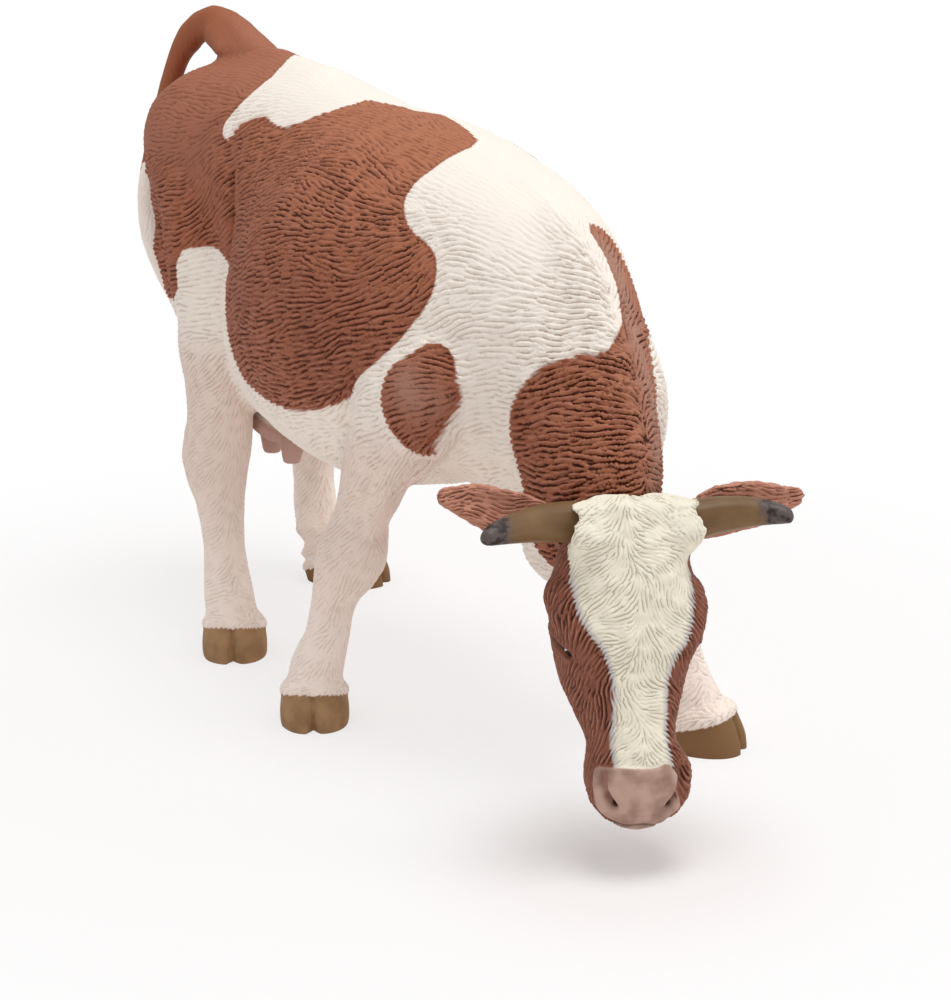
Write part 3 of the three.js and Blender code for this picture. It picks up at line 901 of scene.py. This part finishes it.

# How deep its hair is, and where its paint carries painted top light, painted sheen and painted light on the
# shins.
on_white = smooth(brown, *WHITE_EDGE)
on_rump = smooth(along, *RUMP_ALONG) * smooth(around, *RUMP_AROUND)
on_crest = bump(coat[:, 1] / MM_PER_DEGREE - CREST, CREST_WIDTH) * smooth(along, *CREST_ALONG)
on_spot = bump(np.hypot(along - SPOT[0], coat[:, 1] - SPOT[1] * MM_PER_DEGREE), SPOT_SIZE)
places = {
    "leg": limb * smooth(height, *LEG_LEVELS),
    "back": smooth(around, *BACK_AROUND) * smooth(along, *BACK_ALONG),
    "rump": on_rump,
    "udder": udder_share,
    "tail": tail_share,
    "white": on_white,
    "crest": on_crest,
    "spot": on_spot,
}
losses = {**SHALLOWER, "back": SHALLOWER["back"] + SHALLOWER["white back"] * on_white}
relief = (1 + NECK_DEEPER * smooth(along, *NECK_ALONG)) * (1 - smooth(hoof, *HOOF_BARE))
for place, share in places.items():
    relief *= 1 - losses[place] * share
# Painted sheen on the crest, the shoulder patch and the rump.
painted_sheen = np.max([RUMP_SHEEN * on_rump, on_crest, SPOT_SHEEN * on_spot], axis=0)
# Painted top light near the spine, less of it on the rump.
painted_top_light = smooth(around, *TOP_LIGHT_AROUND) * (1 - RUMP_TOP_LIGHT_CUT * on_rump)
# Painted light on the shins, which are painted whiter.
painted_shin_light = limb * smooth(height, *SHIN_LEVELS)

# Its hair.
fall = np.full(len(coat), BARREL_FALL)
for slant_along, slant_around, reach, slant in HAIR_SLANTS:
    gap = np.hypot(along - slant_along, (around - slant_around) * MM_PER_DEGREE)
    fall = between(fall, slant, bump(gap, reach))
fall = between(fall, LIMB_FALL, limb)
flow = np.stack([0 * fall, 1 + 0 * fall, -fall], axis=1)
flow[is_tail] = TAIL_FLOW
period = between(COARSE_PERIOD, LIMB_PERIOD, limb)
strokes, groove = carve(body, flow, period=period, depth=COARSE_DEPTH * relief, **COARSE_HAIR)
fine_groove = carve(body, flow, depth=FINE_DEPTH * relief, **FINE_HAIR)[1]
groove = np.maximum(groove, FINE_PAINT * fine_groove)
# Masks for the paint; the groove mask carries wash with painted shade in grooves and painted highlight on
# ridges.
body_masks = {
    "brown": brown + PATCH_STROKE * strokes,
    "groove": groove_paint(strokes, groove) * relief * (1 + LIMB_DARKER * limb),
    "hoof": hoof + HOOF_STROKE * strokes,
    "limb": limb,
    "udder": udder_share,
    "tail": tail_share,
    "painted_sheen": painted_sheen,
    "painted_shin_light": painted_shin_light,
    "painted_top_light": painted_top_light,
    # The left side, whose hooves get painted shade.
    "left": (body.points[:, 0] > 0).astype(float),
}

# The head's skin.
head = fused(HEAD_NODES, HEAD_CELL)
head_node = nearest_node(head.points, HEAD_NODES)
head.relax(RELAX["head"])
head.relax(RELAX["face"], (head_node == HEAD_NODES.index("head")) * 1.0)
head.push(-SWELL * HEAD_SHRINK)
spread = head.finer()
head_node = spread(np.eye(len(HEAD_NODES))[head_node]).argmax(axis=1)
is_face = head_node == HEAD_NODES.index("head")
local = to_head(head.points)

# The hair between its horns, and its ears.
block = smooth(np.abs(local[:, 0]), *POLL_ASIDE) * smooth(local[:, 2], *POLL_UP)
block *= smooth(local[:, 1], *POLL_AHEAD) * is_face
tip = ~is_face * smooth(local[:, 0], *EAR_END)
far_tip = ~is_face * smooth(local[:, 0], *FAR_EAR_END)
outward = np.stack([np.sign(local[:, 0]), 1 + 0 * block, 1 + 0 * block], axis=1)
local += block[:, None] * POLL_BLOCK * outward
local += tip[:, None] * EAR_TIP + far_tip[:, None] * FAR_EAR_TIP
poll = smooth(local[:, 2], *SIDE_UP) * smooth(local[:, 1], *SIDE_AHEAD) * is_face
front = is_face & (local[:, 1] < POLL_FRONT)
for hand in (-1, 1):
    out = hand * local[:, 0]
    rows = [out[front & (np.abs(local[:, 2] - level) < POLL_BAND)] for level in POLL_LEVELS]
    widths = [row.max(initial=POLL_LEAST) for row in rows]
    width = np.interp(local[:, 2], POLL_LEVELS, widths)
    growth = (out - POLL_CORE) * ((POLL_HALF - POLL_CORE) / (width - POLL_CORE) - 1)
    local[:, 0] += hand * poll * np.where(out > POLL_CORE, growth, 0)
local[:, 2] -= POLL_DROP * smooth(local[:, 2], *POLL_TOP) * is_face
near_ear = head_node == HEAD_NODES.index("ear_right")
reach = -local[near_ear, 0]
rise = local[near_ear, 2] - np.polyval(np.polyfit(reach, local[near_ear, 2], 2), reach)
fold = smooth(rise, *FOLD_EDGE) * smooth(reach, *FOLD_START) * smooth(reach, *FOLD_END)
local[near_ear, 2] -= EAR_FOLD * rise * fold
head.points = from_head(local)

# Its nose pad and its face.
behind_face = FACE_OUTSIDE * smooth(local[:, 1], *FACE_BACK)
pad = depth_inside(local[:, [0, 2]], PAD) - behind_face
head.push((PAD_STEP + lumps(head.points, PAD_LUMPS)) * smooth(pad, *PAD_EDGE))
for line, width, height in TEMPLES.values():
    head.shape(local, line, width, height)
for line, width, height in FACE_FORMS.values():
    for hand in (line, other_side(line)):
        head.shape(local, hand, width, height)

# Its hair and paint.
side = np.tanh((local[:, 0] - FACE_MIDDLE) / PARTING)
blaze = depth_inside(local[:, [0, 2]], BLAZE) - behind_face
on_blaze = smooth(blaze, *BLAZE_EDGE)
bare = smooth(pad, *PAD_BARE)
for line in (EYE, other_side(EYE)):
    bare = np.maximum(bare, smooth(gap_to(local, line), *EYE_BARE))
for mound in (BROW_MOUND, other_side(BROW_MOUND)):
    on_brow = smooth(gap_to(local, mound), *BROW_BARE)
    bare = np.maximum(bare, BROW_BARENESS * on_brow * (1 - on_blaze))
aside = side * between(*HAIR_SPREAD, on_blaze)
flow = np.stack([aside, HAIR_BACK * (1 - on_blaze), -np.ones(len(side))], axis=1)
flow[~is_face] = np.stack([np.sign(local[:, 0]), 0 * side, 0 * side], axis=1)[~is_face]
flow = flow @ HEAD_AXES.T
head.push(lumps(head.points, TUFTS) * on_blaze * (1 - bare))
strokes, groove = carve(
    head,
    flow,
    wave=between(*FACE_WAVE, on_blaze),
    period=between(*FACE_PERIOD, on_blaze),
    depth=between(*FACE_DEPTH, on_blaze) * (1 - bare),
    **FACE_HAIR,
)
# How far each point is from the eyes, the nostrils, their holes and the mouth; the last three carry painted
# shade.
eye, nostril, pit, lip = [
    np.minimum(*[gap_to(local, laid_on(local, hand)) for hand in (line, other_side(line))])
    for line in (EYE, NOSTRIL, NOSTRIL[3:], MOUTH)
]
# Masks for the paint; the groove mask carries wash with painted shade in grooves and painted highlight on
# ridges.
head_masks = {
    "blaze": blaze + BLAZE_STROKE * strokes,
    "groove": groove_paint(strokes, groove) * (1 - bare) * np.where(is_face, 1, EAR_GROOVE),
    "glint": gap_to(local, laid_on(local, [EYE_GLINT])),
    "pad": pad,
    "eye": eye,
    "nostril": nostril,
    "pit": np.minimum(pit, lip),
    "ear": (~is_face).astype(float),
}

# The horns' skins.
horns = {}
for name in HORN_NODES:
    horn = fused([name], HORN_CELL)
    horn.relax(RELAX["horn"])
    horn.push(-SWELL)
    place = to_head(horn.points)
    reach = np.abs(place[:, 0])
    outer = smooth(reach, HORN_ROOT, HORN_END)
    place[:, 0] = np.sign(place[:, 0]) * np.maximum(reach, HORN_ROOT) + HORN_LEAN * outer
    place[:, 1] += HORN_BACK * (1 - outer)
    place[:, 2] -= between(*HORN_SINK[name], outer)
    horn.points = from_head(place)
    horns[name] = (horn, {"tip": reach + lumps(horn.points, HORN_TIP_RAGS)})


# Materials.
def paint(name):
    """A linear colour; no paint is so dark that the straight start of the sRGB curve applies."""
    code = PAINTS[name]
    parts = [int(code[k : k + 2], 16) / 255 for k in (0, 2, 4)]
    linear = [((part + 0.055) / 1.055) ** 2.4 for part in parts]
    return (*linear, 1)


class Finish:
    """A painted-plastic material built from nodes."""

    def __init__(self, name):
        self.material = bpy.data.materials.new(name)
        self.material.use_nodes = True
        self.tree = self.material.node_tree
        self.tree.nodes.clear()

    def put(self, kind, sockets, **settings):
        node = self.tree.nodes.new(kind)
        for key, value in settings.items():
            setattr(node, key, value)
        for key, value in sockets.items():
            if isinstance(value, bpy.types.NodeSocket):
                self.tree.links.new(value, node.inputs[key])
            else:
                node.inputs[key].default_value = value
        return node

    def mask(self, name):
        return self.put("ShaderNodeAttribute", {}, attribute_name=name).outputs["Fac"]

    def ramp(self, value, low, high, first=0.0, last=1.0):
        """Changes softly from the first to the last as the value goes from low to high."""
        sockets = {"Value": value, "From Min": low, "From Max": high, "To Min": first, "To Max": last}
        node = self.put("ShaderNodeMapRange", sockets, interpolation_type="SMOOTHSTEP")
        return node.outputs["Result"]

    def mix(self, share, first, second):
        node = self.put("ShaderNodeMix", {0: share, 6: first, 7: second}, data_type="RGBA")
        return node.outputs[2]

    def cover(self, colour, mask, name):
        """Lays a paint over a colour where a mask is 1."""
        return self.mix(self.mask(mask), colour, paint(name))

    def fade(self, colour, value, name):
        """Lays a paint over a colour by the paint's own fade of a value."""
        return self.mix(self.ramp(value, *FADES[name]), colour, paint(name))

    def clouded(self, name):
        """A paint with soft random clouds of its darker tone."""
        scale, low, high = CLOUDS[name]
        place = self.put("ShaderNodeTexCoord", {}).outputs["Object"]
        spots = self.put("ShaderNodeTexNoise", {"Vector": place, "Scale": scale, "Detail": CLOUD_DETAIL})
        return self.mix(self.ramp(spots.outputs["Fac"], low, high), paint(name), paint(name + " cloud"))

    def close(self, colour, roughness):
        sockets = {"Base Color": colour, "Roughness": roughness, "Specular IOR Level": SPECULAR}
        shader = self.put("ShaderNodeBsdfPrincipled", sockets)
        self.put("ShaderNodeOutputMaterial", {"Surface": shader.outputs[0]})
        return self.material


def coat_finish():
    finish = Finish("painted_coat")
    groove = finish.mask("groove")
    depth = finish.mask("brown")
    white = finish.cover(paint("white"), "limb", "limb white")
    # The shins get painted light.
    white = finish.cover(white, "painted_shin_light", "shin white")
    # Wash and painted shade in the white's grooves.
    white = finish.fade(white, groove, "white groove")
    brown = finish.clouded("brown")
    # Painted top light and painted sheen over the brown, and the tail's own brown.
    for mask in ("painted_top_light", "painted_sheen", "tail"):
        brown = finish.cover(brown, mask, mask + " brown")
    # Ridges painted lighter and grooves darker: dry-brushing and wash, with painted highlight and painted
    # shade.
    brown = finish.fade(brown, groove, "brown ridge")
    brown = finish.fade(brown, groove, "brown groove")
    brown = finish.fade(brown, depth, "brown edge")
    coat = finish.mix(finish.ramp(depth, *FADES["brown"]), white, brown)
    coat = finish.fade(coat, finish.mask("udder"), "udder")
    # The left hooves are painted darker: painted shade.
    horny = finish.cover(finish.clouded("hoof"), "left", "left hoof")
    coat = finish.mix(finish.ramp(finish.mask("hoof"), *FADES["hoof"]), coat, horny)
    return finish.close(coat, COAT_ROUGHNESS)


def face_finish():
    finish = Finish("painted_face")
    groove = finish.mask("groove")
    blaze = finish.mask("blaze")
    # The ears are painted lighter: painted light.
    brown = finish.cover(paint("face"), "ear", "ear")
    # Ridges painted lighter and grooves darker: dry-brushing and wash, with painted highlight and painted
    # shade.
    brown = finish.fade(brown, groove, "face ridge")
    brown = finish.fade(brown, groove, "face groove")
    # Wash and painted shade in the cream's grooves.
    cream = finish.fade(paint("cream"), groove, "cream groove")
    # A grey edge on the blaze: airbrushing with painted shade.
    cream = finish.fade(cream, blaze, "cream edge")
    face = finish.mix(finish.ramp(blaze, *FADES["cream"]), brown, cream)
    face = finish.mix(finish.ramp(finish.mask("pad"), *FADES["pad"]), face, finish.clouded("pad"))
    # Painted shade in the nostrils, their holes and the mouth line, then the painted eye and its glint.
    for name in ("nostril", "pit", "eye", "glint"):
        face = finish.fade(face, finish.mask(name), name)
    on_eye = finish.ramp(finish.mask("eye"), *FADES["eye"])
    return finish.close(face, finish.mix(on_eye, FACE_ROUGHNESS, EYE_ROUGHNESS))


def horn_finish():
    finish = Finish("painted_horn")
    on_tip = finish.ramp(finish.mask("tip"), *FADES["horn tip"])
    horn = finish.mix(on_tip, finish.clouded("horn"), finish.clouded("horn tip"))
    return finish.close(horn, HORN_ROUGHNESS)


# Pieces.
def make_piece(name, skin, normals, keep, masks, material):
    """The kept quads as a closed piece that stands for its CAD node."""
    quads = skin.quads[keep]
    used = np.unique(quads)
    index = np.full(len(skin.points), -1)
    index[used] = np.arange(len(used))
    quads = index[quads]
    outer_count = len(used)
    sides = quad_sides(quads)
    codes = side_codes(sides, outer_count)
    first, times = np.unique(codes, return_index=True, return_counts=True)[1:]
    rim = sides[first[times == 1]]
    rim_points, rim_index = np.unique(rim, return_inverse=True)
    sunk = rim_index.reshape(rim.shape) + outer_count
    walls = np.concatenate([rim[:, ::-1], sunk], axis=1)
    used = np.concatenate([used, used[rim_points]])
    points = skin.points[used]
    points[outer_count:] -= CAP_DEPTH * normals[used[outer_count:]]
    mesh = bpy.data.meshes.new(name + "_skin")
    mesh.from_pydata(((points + SHIFT) * MM).tolist(), [], np.concatenate([quads, walls]).tolist())
    form = bmesh.new()
    form.from_mesh(mesh)
    rims = [edge for edge in form.edges if edge.is_boundary]
    bmesh.ops.holes_fill(form, edges=rims, sides=0)
    form.to_mesh(mesh)
    form.free()
    for key, values in masks.items():
        attribute = mesh.attributes.new(key, "FLOAT", "POINT")
        attribute.data.foreach_set("value", values[used].astype(np.float32))
    mesh.polygons.foreach_set("use_smooth", np.ones(len(mesh.polygons), bool))
    mesh.normals_split_custom_set_from_vertices(normals[used].tolist())
    mesh.materials.append(material)
    piece = add(name + "_skin", mesh)
    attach(piece, "root")
    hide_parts(name)


def make_pieces(skin, node_of, names, masks, material):
    normals = skin.normals()
    shares = [skin.blur((node_of == k).astype(float), BLUR["seam"]) for k in range(len(names))]
    quad_node = np.stack(shares, axis=1)[skin.quads].sum(axis=1).argmax(axis=1)
    for k, name in enumerate(names):
        make_piece(name, skin, normals, quad_node == k, masks, material)


make_pieces(body, body_node, BODY_NODES, body_masks, coat_finish())
make_pieces(head, head_node, HEAD_NODES, head_masks, face_finish())
horn_material = horn_finish()
for name, (horn, masks) in horns.items():
    make_pieces(horn, np.zeros(len(horn.points), int), [name], masks, horn_material)


# Floor, light and camera.
def make_floor():
    """White paper that glows to the camera, more so far from the cow, and keeps its shadow; painted shadow
    under the muzzle.
    """
    mesh = bpy.data.meshes.new("floor")
    corners = np.array([(-1, -1, 0), (1, -1, 0), (1, 1, 0), (-1, 1, 0)]) * FLOOR_HALF
    mesh.from_pydata(corners.tolist(), [], [(0, 1, 2, 3)])
    finish = Finish("floor_paper")
    place = finish.put("ShaderNodeNewGeometry", {}).outputs["Position"]
    distance = finish.put("ShaderNodeVectorMath", {0: place}, operation="LENGTH").outputs["Value"]
    glow = finish.ramp(distance, *FLOOR_SPAN, FLOOR_GLOW)
    muzzle = tuple((MUZZLE_FLOOR + SHIFT) * MM)
    from_muzzle = finish.put("ShaderNodeVectorMath", {0: place, 1: muzzle}, operation="DISTANCE")
    glow = finish.ramp(from_muzzle.outputs["Value"], *MUZZLE_SPAN, MUZZLE_GLOW, glow)
    seen = finish.put("ShaderNodeLightPath", {}).outputs["Is Camera Ray"]
    share = finish.put("ShaderNodeMath", {0: glow, 1: seen}, operation="MULTIPLY").outputs["Value"]
    white = finish.put("ShaderNodeEmission", {"Color": PURE_WHITE, "Strength": 1.0}).outputs["Emission"]
    lit = finish.put("ShaderNodeBsdfDiffuse", {"Color": paint("floor")}).outputs["BSDF"]
    shader = finish.put("ShaderNodeMixShader", {0: share, 1: lit, 2: white}).outputs["Shader"]
    finish.put("ShaderNodeOutputMaterial", {"Surface": shader})
    mesh.materials.append(finish.material)
    floor = add("floor", mesh)


def make_lamp(name, place, target, size, watts):
    lamp = bpy.data.lights.new(name, "AREA")
    lamp.shape = "DISK"
    lamp.size = size
    lamp.energy = watts
    holder = add(name, lamp)
    holder.location = place
    aim(holder, Vector(target) - Vector(place))


def make_world():
    world = bpy.data.worlds.new("studio")
    world.use_nodes = True
    tree = world.node_tree
    seen = tree.nodes.new("ShaderNodeLightPath").outputs["Is Camera Ray"]
    strength = tree.nodes.new("ShaderNodeMapRange")
    strength.inputs["To Min"].default_value = SKY_STRENGTH
    tree.links.new(seen, strength.inputs["Value"])
    tree.nodes["Background"].inputs["Color"].default_value = PURE_WHITE
    tree.links.new(strength.outputs["Result"], tree.nodes["Background"].inputs["Strength"])
    bpy.context.scene.world = world


def make_camera():
    out = Vector((
        math.sin(CAMERA_AZIMUTH) * math.cos(CAMERA_RISE),
        -math.cos(CAMERA_AZIMUTH) * math.cos(CAMERA_RISE),
        math.sin(CAMERA_RISE),
    ))
    lens = bpy.data.cameras.new("camera")
    lens.lens = LENS
    lens.sensor_width = SENSOR
    lens.clip_start = CLIP_START
    camera = add("camera", lens)
    camera.location = (Vector(CAMERA_TARGET + SHIFT) + CAMERA_DISTANCE * out) * MM
    aim(camera, -out)
    bpy.context.scene.camera = camera


make_floor()
for name, lamp in LAMPS.items():
    make_lamp(name, **lamp)
make_world()
make_camera()
bpy.context.scene.view_settings.view_transform = "Standard"
